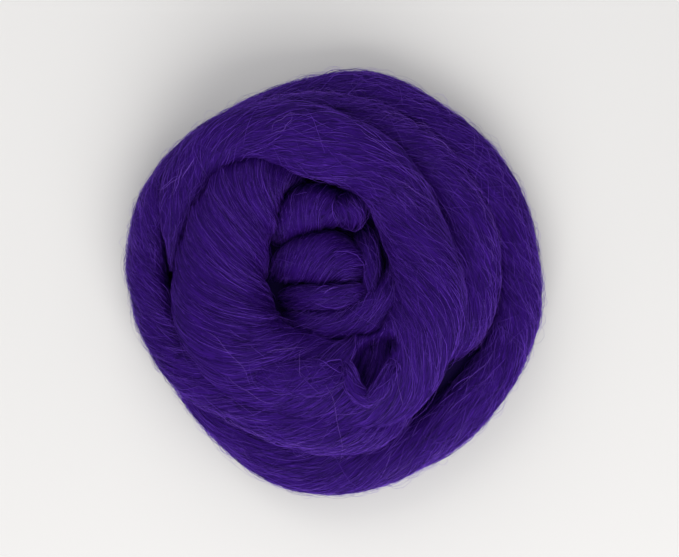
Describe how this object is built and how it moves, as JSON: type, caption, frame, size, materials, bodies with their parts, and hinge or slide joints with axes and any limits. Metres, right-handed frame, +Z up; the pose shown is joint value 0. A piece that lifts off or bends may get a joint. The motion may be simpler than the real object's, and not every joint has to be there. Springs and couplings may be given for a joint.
{
  "type": "wool roving nest",
  "caption": "Loose round nest of combed wool roving: a soft twisted rope wound into overlapping turns, with its inner end folded into the hollow in the middle.",
  "frame": {"origin": "middle of the nest, on the surface that it lies on", "axes": "+Z up; +Y towards the side where the inner turn crosses over its own start; +X to the right of that as seen from above"},
  "size_m": [0.165, 0.1684, 0.0484],
  "materials": {
    "wool": "combed wool fibres dyed deep violet, matt in the valleys with a soft silky sheen along the fibres, a few paler stray hairs"
  },
  "bodies": {
    "root": {"roving_nest": "wool"}
  },
  "joints": []
}
